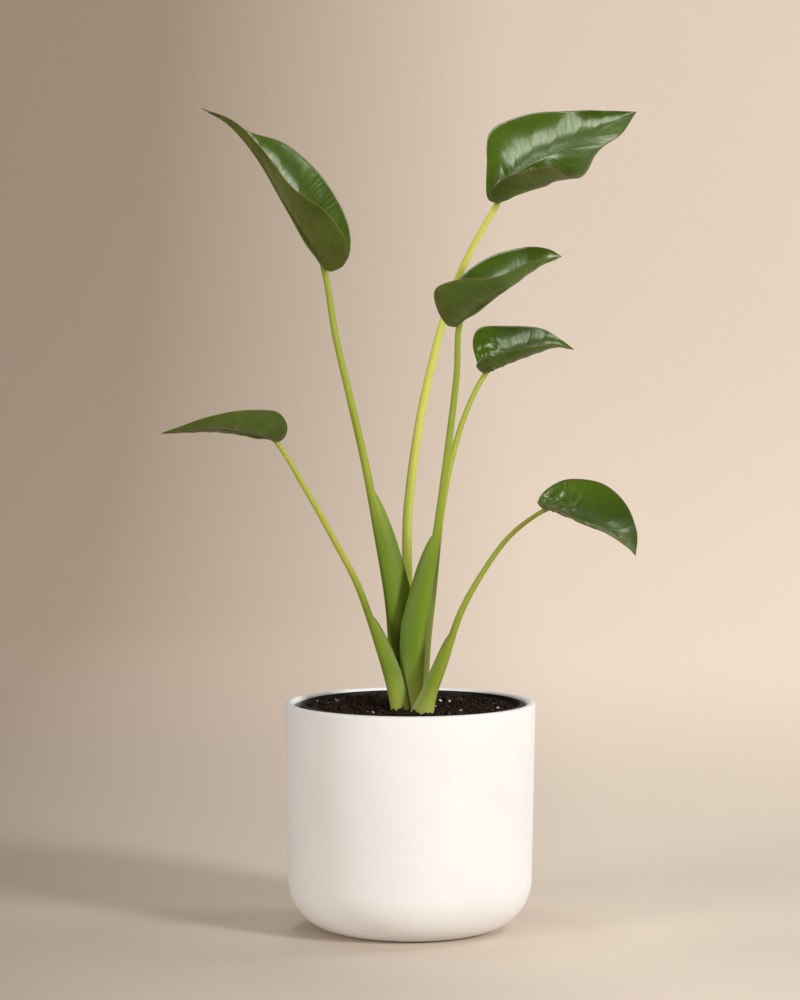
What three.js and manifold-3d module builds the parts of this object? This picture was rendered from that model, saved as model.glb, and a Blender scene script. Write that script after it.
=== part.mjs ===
// A potted alocasia: six cup-shaped leaves on long sheathed stalks, growing from a corm in
// potting soil. The soil fills a thin black nursery pot, which stands inside a matt white
// ceramic outer pot. Millimetres, +Z up. The origin is the middle of the outer pot's foot.
import * as THREE from "three";
import { mergeVertices } from "three/addons/utils/BufferGeometryUtils.js";
import Module from "manifold-3d";

// ---- Driving sizes ---------------------------------------------------------------------

const GAP = 0.3; // clearance between neighbouring pieces

const POT_HEIGHT = 155; // ceramic outer pot, foot to rim
const POT_RIM_RADIUS = 85;
const POT_BASE_RADIUS = 82; // just above the rounded foot
const POT_FOOT_ROUND = 34; // radius of the rounded foot
const POT_WALL = 6;
const POT_FLOOR = 8;
const POT_CORNER_EXTRA = 6; // extra thickness where the floor curves into the wall

const NURSERY_RIM_BELOW = 1; // nursery rim below the ceramic rim
const NURSERY_RIM_SPARE = 3; // free ring between the two rims
const NURSERY_BASE_SPARE = 0.8; // from its foot to where the outer pot's floor curves up
const NURSERY_WALL = 1.2;
const NURSERY_LIP_WIDTH = 1.4; // how far the rolled lip stands out from the wall
const NURSERY_LIP_HEIGHT = 6;
const NURSERY_SHIFT = 1.5; // it stands a little off centre, towards +X
const DRAIN_HOLES = 6;
const DRAIN_HOLE_RADIUS = 4.5;
const DRAIN_RING = 0.72; // ring of holes, as a share of the nursery base radius

const SOIL_BELOW_RIM = 5; // soil surface below the ceramic rim
const SOIL_RELIEF = 0.9; // unevenness of the surface
const SOIL_MOUND = 2; // how far it rises around the stalks

const CORM_DEPTH = 13; // top of the corm below the soil surface
const CORM_RADIUS = 22;
const CORM_HEIGHT = 34;
const CORM_PLACE = [3, -5]; // under the middle of the stalks' feet
const ROOT_COUNT = 5;
const ROOT_RADIUS = 2;
const ROOT_REACH = 22; // how far each root spreads beyond the corm
const ROOT_DROP = 46; // how far each root goes down

const STALK_SPREAD = 1; // leaves and stalks, sideways scale
const STALK_HEIGHT = 1; // leaves and stalks, height scale above the soil
const STALK_GIRTH = 1; // thickness of every stalk
const BLADE_THICKNESS = 0.9;
const MIDRIB_THICKNESS = 1.3; // extra thickness under the midrib at the leaf base
const BLADE_ROWS = 14; // facets along a blade
const BLADE_COLUMNS = 4; // facets from midrib to margin
const STALK_RINGS = 19; // facets along a stalk
const STALK_FACETS = 6; // facets round the outside of a stalk

// Places on the plant are [x, y, height above the soil], chosen so that each curve passes
// through them. A blade has its midrib, then the margin of the half that faces -Y (front)
// and of the half that faces +Y (back). Both margins start at the midrib's foot and end at
// its tip. bulge is how deep each half is cupped, as a share of its width; flops gives where
// the front half stops being cupped and hangs flat, as shares of its length.
// A stalk's core follows its route. Below its sheath it is wrapped in two wings that open
// towards the compass angle open. sheath gives where the wings start and stop narrowing,
// as shares of the route, and foot and widest are the section's half width and half depth.
const LEAVES = {
  low_right: {
    midrib: [[90, -52, 139], [103, -60, 136], [119, -68, 131], [138, -72, 124], [148, -72, 110]],
    front: [[86, -54, 141], [84, -62, 145], [94, -74, 142], [109, -86, 134], [125, -86, 127], [141, -78, 117]],
    back: [[85, -44, 143], [90, -30, 150], [106, -18, 157], [128, -14, 154], [144, -24, 141], [150, -50, 124]],
    bulge: { front: 0.06, back: 0.16 },
    route: [[11, -25, -18], [14, -26, 9], [23, -27, 36], [33, -30, 67], [47, -36, 94], [66, -44, 121], [90, -52, 139]],
    thick: { foot: 3.6, top: 1.6 },
    sheath: [0.2, 0.4],
    foot: [9, 9],
    widest: [5.5, 7],
    open: 165,
  },
  low_left: {
    midrib: [[-89, -50, 184], [-103, -58, 188], [-124, -64, 193], [-145, -66, 192], [-164, -66, 190]],
    front: [[-83, -56, 187], [-81, -66, 196], [-88, -76, 205], [-106, -84, 206], [-131, -82, 202], [-150, -74, 195]],
    back: [[-84, -44, 186], [-83, -34, 194], [-91, -26, 202], [-108, -26, 202], [-132, -38, 199], [-151, -56, 193]],
    bulge: { front: 0.15, back: 0.2 },
    route: [[-7, -15, -18], [-12, -15, 13], [-22, -16, 48], [-35, -22, 86], [-51, -32, 118], [-70, -42, 153], [-89, -50, 184]],
    thick: { foot: 3.4, top: 1.7 },
    sheath: [0.2, 0.38],
    foot: [7, 7],
    widest: [5.5, 8],
    open: 20,
  },
  middle: {
    midrib: [[33, -22, 261], [45, -26, 271], [66, -28, 287], [84, -26, 299], [101, -22, 306]],
    front: [[25, -26, 260], [18, -38, 271], [17, -50, 285], [34, -56, 291], [57, -54, 293], [78, -44, 302], [89, -32, 304]],
    back: [[27, -10, 260], [23, 4, 277], [35, 12, 293], [55, 14, 306], [77, 6, 312], [92, -12, 311]],
    bulge: { front: 0.2, back: 0.18 },
    route: [[5, -12, -18], [7, -12, 41], [13, -14, 89], [19, -16, 129], [26, -18, 183], [31, -20, 227], [33, -22, 261]],
    thick: { foot: 4, top: 2 },
    sheath: [0.27, 0.49],
    foot: [7, 9],
    widest: [7, 12],
    open: 155,
  },
  top_left: {
    midrib: [[-58, -6, 298], [-70, -10, 318], [-84, -10, 342], [-102, -8, 372], [-121, -4, 394], [-140, 0, 405]],
    front: [[-52, -12, 296], [-43, -22, 302], [-43, -34, 317], [-57, -44, 337], [-79, -42, 352], [-98, -26, 377], [-118, -10, 396]],
    back: [[-51, 4, 297], [-41, 16, 307], [-43, 26, 331], [-60, 30, 360], [-83, 24, 381], [-107, 12, 389], [-121, 0, 397]],
    bulge: { front: 0.08, back: 0.16 },
    route: [[-8, 2, -18], [-11, 0, 33], [-14, -4, 74], [-22, -8, 122], [-30, -10, 166], [-40, -12, 210], [-50, -10, 253], [-58, -6, 298]],
    thick: { foot: 4, top: 2.1 },
    sheath: [0.3, 0.52],
    foot: [6, 8],
    widest: [6, 13],
    open: 30,
  },
  top_right: {
    midrib: [[60, 50, 342], [77, 44, 365], [102, 38, 378], [132, 34, 392], [154, 36, 404]],
    front: [[55, 46, 345], [57, 34, 353], [71, 18, 362], [93, 4, 364], [112, -4, 360], [125, 2, 374], [141, 18, 387]],
    back: [[53, 56, 347], [53, 70, 369], [56, 80, 393], [80, 80, 403], [110, 66, 406], [135, 46, 405]],
    bulge: { front: 0.5, back: 0.14 },
    flops: [0.36, 0.6],
    route: [[0, 14, -18], [-2, 16, 100], [0, 22, 147], [10, 32, 211], [30, 40, 284], [60, 50, 342]],
    thick: { foot: 4.4, top: 2.1 },
    sheath: [0.08, 0.12],
    foot: [5, 5],
    widest: [5, 5],
    open: 90,
  },
  middle_right: {
    midrib: [[52, 22, 227], [65, 16, 235], [81, 12, 243], [96, 10, 247], [111, 10, 243]],
    front: [[48, 20, 228], [45, 10, 233], [55, -2, 238], [71, -10, 244], [87, -8, 246], [101, 2, 246]],
    back: [[48, 28, 229], [43, 42, 245], [48, 48, 257], [69, 46, 258], [89, 34, 257], [103, 18, 249]],
    bulge: { front: 0.22, back: 0.14 },
    route: [[8, 4, -18], [11, 6, 39], [15.5, 8, 80], [20.5, 10, 127], [28, 12, 168], [39, 16, 203], [52, 22, 227]],
    thick: { foot: 3.4, top: 1.8 },
    sheath: [0.2, 0.42],
    foot: [5, 6],
    widest: [5, 6],
    open: 200,
  },
};

const COLOURS = {
  ceramic: { color: "#e9e3da", roughness: 0.75, metalness: 0 },
  plastic: { color: "#151515", roughness: 0.55, metalness: 0 },
  soil: { color: "#2b211a", roughness: 1, metalness: 0 },
  corm: { color: "#6b4b33", roughness: 0.9, metalness: 0 },
  stalk: { color: "#8fa63c", roughness: 0.45, metalness: 0 },
  blade: { color: "#3d6b1e", roughness: 0.3, metalness: 0 },
};

// ---- Values that follow from the driving sizes -------------------------------------------

const SOIL_TOP = POT_HEIGHT - SOIL_BELOW_RIM;
const CORM_TOP = SOIL_TOP - CORM_DEPTH;
const NURSERY_TOP = POT_HEIGHT - NURSERY_RIM_BELOW;
const NURSERY_FOOT = POT_FLOOR + GAP;
const POT_INNER_ROUND = POT_FOOT_ROUND - POT_WALL - POT_CORNER_EXTRA;
const POT_FLOOR_RADIUS = POT_BASE_RADIUS - POT_WALL - POT_INNER_ROUND; // its flat part, inside
const NURSERY_BASE_RADIUS = POT_FLOOR_RADIUS - NURSERY_SHIFT - NURSERY_BASE_SPARE;
const NURSERY_RIM_RADIUS = POT_RIM_RADIUS - POT_WALL - NURSERY_RIM_SPARE;
const NURSERY_TOP_RADIUS = NURSERY_RIM_RADIUS - NURSERY_LIP_WIDTH;

// ---- Small helpers -----------------------------------------------------------------------

const wasm = await Module();
wasm.setup();

const vector = (x, y, z) => new THREE.Vector3(x, y, z);
const mix = THREE.MathUtils.lerp;
const clamp = THREE.MathUtils.clamp;
const radians = THREE.MathUtils.degToRad;
const ease = (t) => t * t * (3 - 2 * t);

// A point of the plant, from its place above the soil.
const grow = ([x, y, z]) => vector(x * STALK_SPREAD, y * STALK_SPREAD, SOIL_TOP + z * STALK_HEIGHT);

// A smooth curve through the points, as count + 1 evenly spaced points.
const route = (points, count) =>
  new THREE.CatmullRomCurve3(points, false, "catmullrom", 0.5).getSpacedPoints(count);

// The direction of travel at each point of a route.
function directions(points) {
  return points.map((_, i) => {
    const next = points[Math.min(i + 1, points.length - 1)];
    return next.clone().sub(points[Math.max(i - 1, 0)]).normalize();
  });
}

// Point lists and triangles as a geometry.
function meshGeometry(points, faces) {
  const geometry = new THREE.BufferGeometry().setFromPoints(points);
  geometry.setIndex(faces.flat());
  return geometry;
}

// A closed three.js geometry as a solid, turned the right way out.
function solid(geometry) {
  const bare = geometry.clone();
  bare.deleteAttribute("normal");
  bare.deleteAttribute("uv");
  const merged = mergeVertices(bare, 1e-4);
  const made = new wasm.Manifold(
    new wasm.Mesh({
      numProp: 3,
      vertProperties: new Float32Array(merged.attributes.position.array),
      triVerts: new Uint32Array(merged.index.array),
    }),
  );
  return made;
}

// A solid as a geometry with flat facets.
function facets(made) {
  const { numProp, vertProperties, triVerts } = made.getMesh();
  const points = [];
  for (let i = 0; i < vertProperties.length; i += numProp)
    points.push(vector(vertProperties[i], vertProperties[i + 1], vertProperties[i + 2]));
  const geometry = meshGeometry(points, [...triVerts]).toNonIndexed();
  geometry.computeVertexNormals();
  return geometry;
}

// The largest piece of a solid that a cut may have parted.
function largest(made) {
  return made.decompose().sort((a, b) => b.volume() - a.volume())[0];
}

// A profile of [radius, height] points turned about the vertical axis.
function turned(profile, sides) {
  const points = profile.map(([r, z]) => new THREE.Vector2(r, z));
  return new THREE.LatheGeometry(points, sides).rotateX(Math.PI / 2);
}

// Points on an arc about [r, z], from one angle to another in degrees.
function arc(r, z, radius, from, to, steps) {
  return Array.from({ length: steps + 1 }, (_, i) => {
    const angle = radians(mix(from, to, i / steps));
    return [r + radius * Math.cos(angle), z + radius * Math.sin(angle)];
  });
}

// ---- Pots ----------------------------------------------------------------------------------

// Thick rounded bowl wall, rounded foot and a full round on the rim.
function outerPot() {
  const lip = POT_WALL / 2;
  const profile = [
    [0, 0],
    ...arc(POT_BASE_RADIUS - POT_FOOT_ROUND, POT_FOOT_ROUND, POT_FOOT_ROUND, -90, 0, 7),
    ...arc(POT_RIM_RADIUS - lip, POT_HEIGHT - lip, lip, 0, 180, 6),
    ...arc(POT_FLOOR_RADIUS, POT_FLOOR + POT_INNER_ROUND, POT_INNER_ROUND, 0, -90, 5),
    [0, POT_FLOOR],
  ];
  return solid(turned(profile, 64));
}

// Thin tapered wall with a rolled lip, and a ring of drain holes in its floor.
function nurseryPot() {
  const lipFoot = NURSERY_TOP - NURSERY_LIP_HEIGHT;
  const slope = (NURSERY_TOP_RADIUS - NURSERY_BASE_RADIUS) / (NURSERY_TOP - NURSERY_FOOT);
  const wallAt = (z) => NURSERY_BASE_RADIUS + slope * (z - NURSERY_FOOT);
  const floorTop = NURSERY_FOOT + NURSERY_WALL;
  const edge = NURSERY_WALL / 2;
  const profile = [
    [0, NURSERY_FOOT],
    [NURSERY_BASE_RADIUS, NURSERY_FOOT],
    [wallAt(lipFoot), lipFoot],
    [NURSERY_RIM_RADIUS, lipFoot + edge],
    ...arc(NURSERY_RIM_RADIUS - edge, NURSERY_TOP - edge, edge, 0, 90, 3),
    [wallAt(NURSERY_TOP) - NURSERY_WALL, NURSERY_TOP],
    [wallAt(floorTop) - NURSERY_WALL, floorTop],
    [0, floorTop],
  ];
  const shell = solid(turned(profile, 48));
  const holes = Array.from({ length: DRAIN_HOLES }, (_, i) => {
    const angle = (2 * Math.PI * i) / DRAIN_HOLES;
    const ring = NURSERY_BASE_RADIUS * DRAIN_RING;
    const hole = new THREE.CylinderGeometry(DRAIN_HOLE_RADIUS, DRAIN_HOLE_RADIUS, NURSERY_WALL * 3, 14);
    hole.rotateX(Math.PI / 2);
    hole.translate(ring * Math.cos(angle), ring * Math.sin(angle), NURSERY_FOOT + NURSERY_WALL / 2);
    return solid(hole);
  });
  return holes.reduce((pot, hole) => pot.subtract(hole), shell);
}

// ---- Soil, corm and roots ------------------------------------------------------------------

// Height of the soil surface: gentle lumps, and a low mound around the stalks.
function soilHeight(x, y) {
  const lumps =
    Math.sin(0.19 * x + 1.3) * Math.cos(0.23 * y - 0.4) +
    0.6 * Math.sin(0.41 * x - 0.33 * y + 2.1) +
    0.4 * Math.cos(0.52 * y + 0.17 * x);
  const mound = Math.exp(-(x * x + y * y) / (2 * 26 * 26));
  return SOIL_TOP + SOIL_RELIEF * 0.5 * lumps + SOIL_MOUND * (mound - 0.35);
}

// The soil fills the nursery pot: a tapered plug with an uneven top.
function soil() {
  const floor = NURSERY_FOOT + NURSERY_WALL + GAP;
  const slope = (NURSERY_TOP_RADIUS - NURSERY_BASE_RADIUS) / (NURSERY_TOP - NURSERY_FOOT);
  const radiusAt = (z) => NURSERY_BASE_RADIUS + slope * (z - NURSERY_FOOT) - NURSERY_WALL - GAP - 0.15;
  const rings = 8;
  const sides = 48;
  const points = [vector(0, 0, floor)];
  for (let j = 0; j < sides; j++) {
    const angle = (2 * Math.PI * j) / sides;
    points.push(vector(radiusAt(floor) * Math.cos(angle), radiusAt(floor) * Math.sin(angle), floor));
  }
  for (let i = rings; i > 0; i--)
    for (let j = 0; j < sides; j++) {
      const angle = (2 * Math.PI * j) / sides;
      const r = (radiusAt(SOIL_TOP) * i) / rings;
      const [x, y] = [r * Math.cos(angle), r * Math.sin(angle)];
      points.push(vector(x, y, soilHeight(x, y)));
    }
  points.push(vector(0, 0, soilHeight(0, 0)));
  const faces = [];
  const ring = (i, j) => 1 + i * sides + (j % sides);
  for (let j = 0; j < sides; j++) {
    faces.push([0, ring(0, j + 1), ring(0, j)]);
    for (let i = 0; i < rings; i++) {
      faces.push([ring(i, j), ring(i, j + 1), ring(i + 1, j + 1)]);
      faces.push([ring(i, j), ring(i + 1, j + 1), ring(i + 1, j)]);
    }
    faces.push([ring(rings, j), ring(rings, j + 1), points.length - 1]);
  }
  return solid(meshGeometry(points, faces));
}

// The corm that every stalk grows from, with thick roots; spare swells it for a clearance cut.
function corm(spare) {
  const top = CORM_TOP - GAP + spare;
  const middle = CORM_TOP - CORM_HEIGHT / 2;
  const flat = CORM_RADIUS * 0.86;
  const foot = CORM_TOP - CORM_HEIGHT - spare;
  const profile = [
    [0, foot],
    [CORM_RADIUS * 0.45 + spare, foot + 2],
    [CORM_RADIUS * 0.85 + spare, foot + CORM_HEIGHT * 0.25],
    [CORM_RADIUS + spare, middle],
    [CORM_RADIUS * 0.97 + spare, top - CORM_HEIGHT * 0.2],
    [flat + spare, top],
    [0, top],
  ];
  const body = solid(turned(profile, 24));
  const roots = Array.from({ length: ROOT_COUNT }, (_, i) => {
    const angle = (2 * Math.PI * (i + 0.3)) / ROOT_COUNT;
    const [c, s] = [Math.cos(angle), Math.sin(angle)];
    const at = (r, drop) => vector(r * c, r * s, middle - drop);
    const end = CORM_RADIUS + ROOT_REACH * (1 - 0.12 * (i % 3)) + spare;
    const path = new THREE.CatmullRomCurve3([
      at(CORM_RADIUS * 0.5, 0),
      at(CORM_RADIUS * 1.2, 6),
      at(mix(CORM_RADIUS, end, 0.75), ROOT_DROP * 0.5),
      at(end, ROOT_DROP + spare),
    ]);
    const section = new THREE.Shape();
    section.absarc(0, 0, ROOT_RADIUS + spare, 0, 2 * Math.PI);
    const options = { steps: 8, extrudePath: path, bevelEnabled: false, curveSegments: 3 };
    return solid(new THREE.ExtrudeGeometry(section, options));
  });
  return roots.reduce((all, root) => all.add(root), body).translate([...CORM_PLACE, 0]);
}

// ---- Stalks and blades ---------------------------------------------------------------------

// One section of a stalk, as [across, out] points: a round core at the bottom of a wrap of
// half width a and depth d, whose wings thin out. wrapped goes from 1, open, to 0, round.
function stalkSection(a, d, r, wrapped) {
  const reach = radians(mix(135, 112, wrapped));
  const wing = Math.min(1.2, 0.9 * a);
  const core = 1.7 * r;
  const outer = [];
  const inner = [];
  const endX = a * Math.sin(reach);
  const endY = d - r - d * Math.cos(reach);
  for (let j = 0; j <= STALK_FACETS; j++) {
    const angle = mix(-reach, reach, j / STALK_FACETS);
    const centred = clamp(angle * 1.3, -Math.PI / 2, Math.PI / 2);
    const solidX = 0.82 * endX * (angle / reach);
    const solidY = endY - 0.22 * r * Math.cos((angle / reach) * (Math.PI / 2));
    const outX = a * Math.sin(angle);
    const outY = d - r - d * Math.cos(angle);
    const wrapX = outX * (1 - wing / a);
    const wrapY =
      outY +
      wing * Math.cos(clamp(Math.abs(angle), 0, Math.PI / 2)) +
      (core - wing) * Math.cos(centred) ** 2;
    outer.push([outX, outY]);
    inner.unshift([mix(solidX, wrapX, wrapped), mix(solidY, wrapY, wrapped)]);
  }
  return [...outer, ...inner];
}

// The section pushed out by a clearance, along the mean of the two edges at each point.
function swell(section, spare) {
  const count = section.length;
  return section.map(([x, y], j) => {
    const [ax, ay] = section[(j + count - 1) % count];
    const [bx, by] = section[(j + 1) % count];
    const length = Math.hypot(bx - ax, by - ay) || 1;
    return [x + (spare * (by - ay)) / length, y - (spare * (bx - ax)) / length];
  });
}

// Flat caps for a ring of points, facing along the axis.
function capFaces(flat, first, forward) {
  return THREE.ShapeUtils.triangulateShape(flat, []).map(([a, b, c]) => {
    const [p, q, r] = [flat[a], flat[b], flat[c]];
    const left = (q.x - p.x) * (r.y - p.y) - (q.y - p.y) * (r.x - p.x) > 0;
    return (left === forward ? [a, b, c] : [a, c, b]).map((k) => first + k);
  });
}

// A stalk swept along its route and cut off flat where it meets the corm; spare swells it
// for a clearance cut.
function stalk(leaf, spare) {
  const path = route(leaf.route.map(grow), STALK_RINGS);
  const along = directions(path);
  const angle = radians(leaf.open);
  const opening = vector(Math.cos(angle), Math.sin(angle), 0);
  const [from, to] = leaf.sheath;
  const points = [];
  const sections = path.map((centre, i) => {
    const t = i / STALK_RINGS;
    const r = STALK_GIRTH * mix(leaf.thick.foot, leaf.thick.top, t ** 0.8);
    const low = ease(clamp(t / from, 0, 1));
    const high = clamp((t - from) / (to - from), 0, 1);
    const wide = (1 - high) ** 0.75;
    const [half, depth] = leaf.foot.map((size, k) => {
      return mix(r, STALK_GIRTH * mix(size, leaf.widest[k], low), wide);
    });
    const out = opening.clone().addScaledVector(along[i], -opening.dot(along[i])).normalize();
    const across = out.clone().cross(along[i]);
    const section = swell(stalkSection(half, depth, r, 1 - ease(high)), spare);
    for (const [x, y] of section)
      points.push(centre.clone().addScaledVector(across, x).addScaledVector(out, y));
    return section.map(([x, y]) => new THREE.Vector2(x, y));
  });
  const size = sections[0].length;
  const faces = [...capFaces(sections[0], 0, false), ...capFaces(sections.at(-1), STALK_RINGS * size, true)];
  for (let i = 0; i < STALK_RINGS; i++)
    for (let j = 0; j < size; j++) {
      const a = i * size + j;
      const b = i * size + ((j + 1) % size);
      faces.push([a, b, b + size], [a, b + size, a + size]);
    }
  return solid(meshGeometry(points, faces)).trimByPlane([0, 0, 1], CORM_TOP - spare);
}

// The middle surface of a blade, as rows from the foot of the midrib to its tip. Each row
// runs from the back margin over the midrib to the front margin.
function bladeRows(leaf) {
  const midrib = leaf.midrib.map(grow);
  const fine = route(midrib, 80);
  const spine = Array.from({ length: BLADE_ROWS + 1 }, (_, i) => {
    const place = Math.min((i / BLADE_ROWS) ** 1.6 * 80, 79.999);
    const whole = Math.floor(place);
    return fine[whole].clone().lerp(fine[whole + 1], place - whole);
  });
  const along = directions(spine);
  const turn = pointing(leaf);
  const [back, front] = ["back", "front"].map((half) => {
    const margin = route([midrib[0], ...leaf[half].map(grow), midrib.at(-1)], BLADE_ROWS);
    const [from, to] = (half === "front" && leaf.flops) || [1, 2];
    return spine.map((foot, i) => {
      const cupped = 1 - ease(clamp((i / BLADE_ROWS - from) / (to - from), 0, 1));
      const depth = cupped * leaf.bulge[half] * (half === "front" ? turn : -turn);
      const chord = margin[i].clone().sub(foot);
      const under = along[i].clone().cross(chord).multiplyScalar(depth);
      return Array.from({ length: BLADE_COLUMNS + 1 }, (_, j) => {
        const v = j / BLADE_COLUMNS;
        return foot.clone().addScaledVector(chord, v).addScaledVector(under, 4 * v * (1 - v));
      });
    });
  });
  return spine.map((_, i) => [...back[i].reverse(), ...front[i].slice(1)]);
}

// 1 for a leaf that points towards +X, -1 for one that points towards -X.
const pointing = (leaf) => Math.sign(leaf.midrib.at(-1)[0] - leaf.midrib[0][0]);

// A blade with its real thickness, thicker under the midrib; spare swells both faces for a
// clearance cut. The foot and the tip of the midrib are single points.
function blade(leaf, spare) {
  const rows = bladeRows(leaf);
  const last = rows.length - 1;
  const width = rows[0].length;
  const foot = rows[0][0].clone();
  const onward = rows[1][BLADE_COLUMNS].clone().sub(foot).normalize();
  foot.addScaledVector(onward, -2 * spare);
  const middle = [foot, ...rows.slice(1, last).flat(), rows[last][0]];
  const tip = middle.length - 1;
  const at = (i, j) => (i === 0 ? 0 : i === last ? tip : 1 + (i - 1) * width + j);
  const sheet = [];
  for (let i = 0; i < last; i++)
    for (let j = 0; j < width - 1; j++) {
      if (i > 0) sheet.push([at(i, j), at(i, j + 1), at(i + 1, j + 1)]);
      if (i < last - 1) sheet.push([at(i, j), at(i + 1, j + 1), at(i + 1, j)]);
    }
  const form = meshGeometry(middle, sheet);
  form.computeVertexNormals();
  const turn = pointing(leaf);
  const layer = (side) =>
    middle.map((point, k) => {
      const normal = vector().fromBufferAttribute(form.attributes.normal, k);
      const row = k === 0 ? 0 : Math.min(Math.floor((k - 1) / width) + 1, last);
      const onMidrib = k > 0 && k < tip && (k - 1) % width === BLADE_COLUMNS;
      const rib = onMidrib && side !== turn ? MIDRIB_THICKNESS * (1 - row / last) : 0;
      return point.clone().addScaledVector(normal, side * (BLADE_THICKNESS / 2 + rib + spare));
    });
  const faces = [...sheet, ...sheet.map(([a, b, c]) => [a, c, b].map((k) => k + middle.length))];
  const backEdge = Array.from({ length: last - 1 }, (_, i) => at(i + 1, 0));
  const frontEdge = Array.from({ length: last - 1 }, (_, i) => at(last - 1 - i, width - 1));
  const rim = [0, ...backEdge, tip, ...frontEdge];
  rim.forEach((p, k) => {
    const q = rim[(k + 1) % rim.length];
    faces.push([p, q, q + middle.length], [p, q + middle.length, p + middle.length]);
  });
  return solid(meshGeometry([...layer(1), ...layer(-1)], faces));
}

// ---- The plant in its pots ------------------------------------------------------------------

const plant = new THREE.Group();

function add(name, made, look) {
  const mesh = new THREE.Mesh(facets(made), new THREE.MeshStandardMaterial(COLOURS[look]));
  mesh.name = name;
  plant.add(mesh);
  return mesh;
}

const leaves = Object.entries(LEAVES);
const swollenStalks = leaves.map(([, leaf]) => stalk(leaf, GAP));
const swollenBlades = leaves.map(([, leaf]) => blade(leaf, GAP));
const joined = (solids) => solids.reduce((all, one) => all.add(one));

add("outer_pot", outerPot(), "ceramic");
add("nursery_pot", nurseryPot(), "plastic").position.x = NURSERY_SHIFT;
add("corm", corm(0), "corm");
add(
  "potting_soil",
  largest(
    soil()
      .translate([NURSERY_SHIFT, 0, 0])
      .subtract(joined([...swollenStalks, corm(GAP)])),
  ),
  "soil",
);

// Stalks that stand in front keep their full shape, and the ones behind nestle against them.
leaves.forEach(([name, leaf], i) => {
  const neighbours = [...swollenStalks.slice(0, i), ...swollenBlades];
  add(`stalk_${name}`, largest(stalk(leaf, 0).subtract(joined(neighbours))), "stalk");
  add(`leaf_${name}`, blade(leaf, 0), "blade");
});

export default plant;
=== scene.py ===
# %% [markdown]
# # A potted alocasia
# This lesson dresses a measured model of a small alocasia. The plant has six cup-shaped
# leaves on long stalks, potting mix in a black grower's pot, and a matt white ceramic pot
# around it. The measured model gives every size and place; the lesson makes fine surfaces
# over it and gives each one a finish of its own.

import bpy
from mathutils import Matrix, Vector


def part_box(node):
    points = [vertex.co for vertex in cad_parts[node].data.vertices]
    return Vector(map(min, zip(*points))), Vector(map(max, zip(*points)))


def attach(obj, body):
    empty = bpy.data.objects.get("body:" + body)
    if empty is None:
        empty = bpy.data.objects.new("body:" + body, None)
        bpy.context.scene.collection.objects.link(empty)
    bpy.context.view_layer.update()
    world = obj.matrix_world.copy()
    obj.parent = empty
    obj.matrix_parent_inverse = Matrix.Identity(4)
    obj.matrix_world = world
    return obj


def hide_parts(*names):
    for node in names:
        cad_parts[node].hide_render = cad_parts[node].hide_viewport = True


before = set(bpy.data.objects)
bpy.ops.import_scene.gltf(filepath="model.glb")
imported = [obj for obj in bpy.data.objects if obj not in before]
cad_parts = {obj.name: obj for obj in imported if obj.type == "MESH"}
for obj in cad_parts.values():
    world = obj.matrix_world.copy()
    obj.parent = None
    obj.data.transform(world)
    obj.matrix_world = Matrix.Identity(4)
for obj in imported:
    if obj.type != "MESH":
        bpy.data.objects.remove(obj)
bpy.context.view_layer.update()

# %% [markdown]
# ## Sizes
# Blender works in metres. The pots' sizes are read from the measured model, so this script
# follows it. The rest of the sizes are repeated here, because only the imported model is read.

# %% Sizes of the pots and the soil
import math
import random

import bpy
import numpy as np
from mathutils import Euler, Vector, noise

MM = 0.001
GAP = 0.3 * MM

_, pot_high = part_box("outer_pot")
inner_low, inner_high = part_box("nursery_pot")
_, soil_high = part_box("potting_soil")

POT_HEIGHT = pot_high.z
POT_RIM_RADIUS = pot_high.x
POT_BASE_RADIUS = POT_RIM_RADIUS - 3 * MM
POT_FOOT_ROUND = 34 * MM
POT_WALL = 6 * MM
POT_FLOOR = inner_low.z - GAP
POT_INNER_ROUND = 22 * MM

NURSERY_MIDDLE = (inner_low.x + inner_high.x) / 2
NURSERY_TOP = inner_high.z
NURSERY_RIM_RADIUS = inner_high.y
NURSERY_LIP_WIDTH = 1.4 * MM
NURSERY_LIP_HEIGHT = 6 * MM
NURSERY_TOP_RADIUS = NURSERY_RIM_RADIUS - NURSERY_LIP_WIDTH
NURSERY_BASE_RADIUS = 51.7 * MM
NURSERY_WALL = 1.2 * MM

SOIL_TOP = POT_HEIGHT - 5 * MM
SOIL_RADIUS = soil_high.y
print("pot", POT_RIM_RADIUS, "nursery pot", NURSERY_RIM_RADIUS, "soil", SOIL_RADIUS)

# %% [markdown]
# ## The plant's curves
# The plant is drawn as curves through places in millimetres: across, back, and height above
# the soil. The routes, midribs and margins are those that the measured model was grown from.
# Each leaf has a midrib and a front and a back margin, and bulge is how deep its two halves
# are cupped. flops is where the cup of the front half opens out, and ripple and crumple are
# how far, in millimetres, the margin and the foot are thrown out of the smooth cup.
# Each stalk has a route, and thick is its radius at the foot and at the leaf. sheath is where
# its wings start and stop closing, as shares of its length. foot and widest are the half width
# and half depth of the open wrap, and opens is the way that it faces, in degrees. The two low
# stalks have deeper feet than the measured model, whose feet are slimmer than the real ones.
# The upper right leaf opens out over a longer stretch here, and ripples more.

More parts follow.
